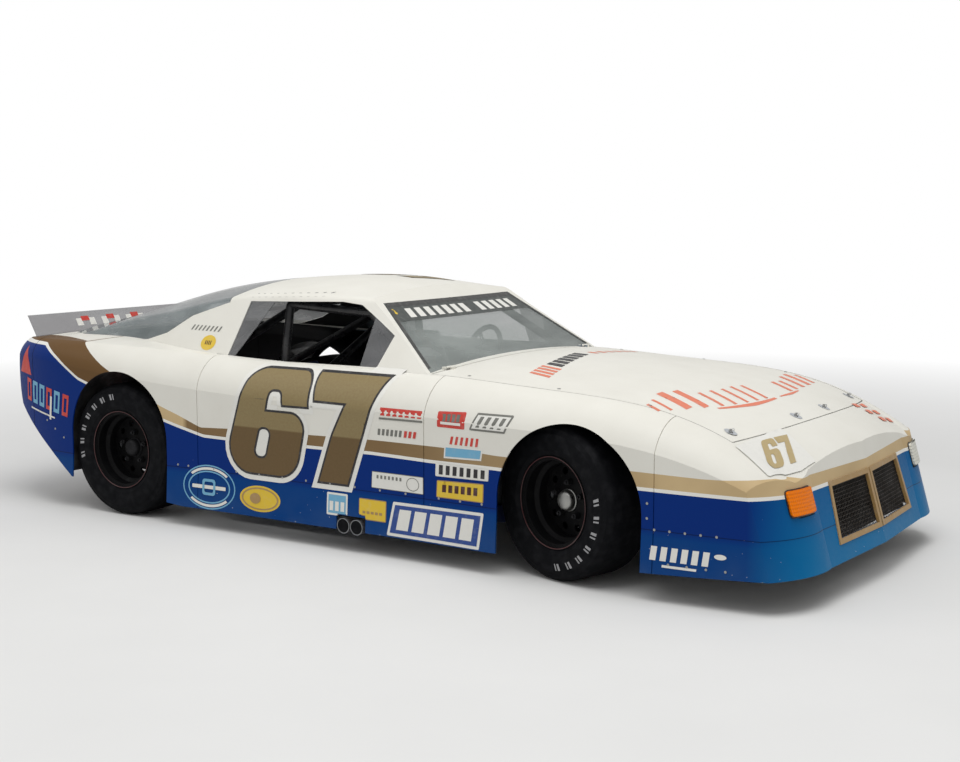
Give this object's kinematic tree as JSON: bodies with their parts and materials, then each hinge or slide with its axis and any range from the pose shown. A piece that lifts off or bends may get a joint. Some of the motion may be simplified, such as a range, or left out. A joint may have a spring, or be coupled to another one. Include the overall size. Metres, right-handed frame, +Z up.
{
  "type": "stock car",
  "caption": "Short-track racing coupe on a tube frame with a thin panel body, roll cage, wide slick tyres, steered front wheels and an opening hood.",
  "frame": {"origin": "on the ground below the middle of the car", "axes": "+X forward, +Y to the car's left, +Z up"},
  "size_m": [4.6854, 2.0098, 1.2482],
  "materials": {
    "body_paint": "glossy two-colour racing paint over thin panels, off-white above a gold band and deep blue below",
    "frame_paint": "deep blue enamel on welded tube",
    "cage_paint": "black enamel",
    "sheet_metal": "bare sheet aluminium",
    "engine": "dark cast metal",
    "cores": "brushed fins and tanks",
    "fuel_box": "red enamel box",
    "suspension": "machined and painted steel",
    "springs": "enamelled coil springs",
    "pipes": "heat-stained tube",
    "seat_pad": "folded sheet seat with dark padding",
    "clear_pane": "clear, slightly grey polycarbonate",
    "mesh": "dark wire mesh",
    "front_lens": "amber lens",
    "rear_lens": "red lens",
    "wheel_paint": "black enamelled steel wheel with a thin red line",
    "tyre": "worn matt racing rubber",
    "grip": "dark grip on a spoked steering wheel"
  },
  "bodies": {
    "chassis": {"chassis_frame": "frame_paint", "front_clip": "frame_paint", "rear_clip": "frame_paint", "roll_cage": "cage_paint", "floor_pan": "sheet_metal", "engine_block": "engine", "radiator": "cores", "fuel_cell": "fuel_box", "front_arms": "suspension", "tie_rods": "suspension", "coil_shocks": "springs", "rear_axle": "suspension", "exhaust_pipes": "pipes", "seat": "seat_pad", "steering_column": "suspension", "dash_panel": "sheet_metal", "nose_cover": "body_paint", "tail_cover": "body_paint", "cowl_panel": "body_paint", "fender_left": "body_paint", "fender_right": "body_paint", "door_left": "body_paint", "door_right": "body_paint", "quarter_left": "body_paint", "quarter_right": "body_paint", "roof_shell": "body_paint", "windshield": "clear_pane", "rear_glass": "clear_pane", "side_glass": "clear_pane", "grille_mesh": "mesh", "front_lamps": "front_lens", "tail_lamps": "rear_lens", "rear_spoiler": "clear_pane"},
    "hood": {"hood": "body_paint"},
    "steering_wheel": {"steering_wheel": "grip"},
    "knuckle_left": {"knuckle_left": "suspension"},
    "knuckle_right": {"knuckle_right": "suspension"},
    "wheel_front_left": {"rim_front_left": "wheel_paint", "tyre_front_left": "tyre"},
    "wheel_front_right": {"rim_front_right": "wheel_paint", "tyre_front_right": "tyre"},
    "wheel_rear_left": {"rim_rear_left": "wheel_paint", "tyre_rear_left": "tyre"},
    "wheel_rear_right": {"rim_rear_right": "wheel_paint", "tyre_rear_right": "tyre"}
  },
  "joints": [
    {"name": "steer_right", "type": "hinge", "parent": "chassis", "child": "knuckle_right", "pos_m": [1.231, -0.695, 0.346], "axis": [0, 0, 1], "range_deg": [-9.4, 40.6]},
    {"name": "steer_left", "type": "hinge", "parent": "chassis", "child": "knuckle_left", "pos_m": [1.231, 0.695, 0.346], "axis": [0, 0, 1], "range_deg": [-9.4, 40.6]},
    {"name": "steering_wheel_turn", "type": "hinge", "parent": "chassis", "child": "steering_wheel", "pos_m": [-0.01, 0.33, 0.8], "axis": [-0.9688, 0, 0.2477], "range_deg": [-112.8, 487.2]},
    {"name": "hood_lift", "type": "hinge", "parent": "chassis", "child": "hood", "pos_m": [0.449, 0, 0.86804], "axis": [0, -1, 0], "range_deg": [0, 60]},
    {"name": "spin_front_right", "type": "hinge", "parent": "knuckle_right", "child": "wheel_front_right", "pos_m": [1.231, -0.695, 0.346], "axis": [0.2689, 0.9632, 0], "continuous": true},
    {"name": "spin_front_left", "type": "hinge", "parent": "knuckle_left", "child": "wheel_front_left", "pos_m": [1.231, 0.695, 0.346], "axis": [0.2689, 0.9632, 0], "continuous": true},
    {"name": "spin_rear_right", "type": "hinge", "parent": "chassis", "child": "wheel_rear_right", "pos_m": [-1.436, -0.807, 0.346], "axis": [0, 1, 0], "continuous": true},
    {"name": "spin_rear_left", "type": "hinge", "parent": "chassis", "child": "wheel_rear_left", "pos_m": [-1.436, 0.807, 0.346], "axis": [0, 1, 0], "continuous": true}
  ],
  "couplings": [
    {"joint": "steer_left", "follows": "steer_right", "ratio": 1},
    {"joint": "steering_wheel_turn", "follows": "steer_right", "ratio": 12}
  ]
}
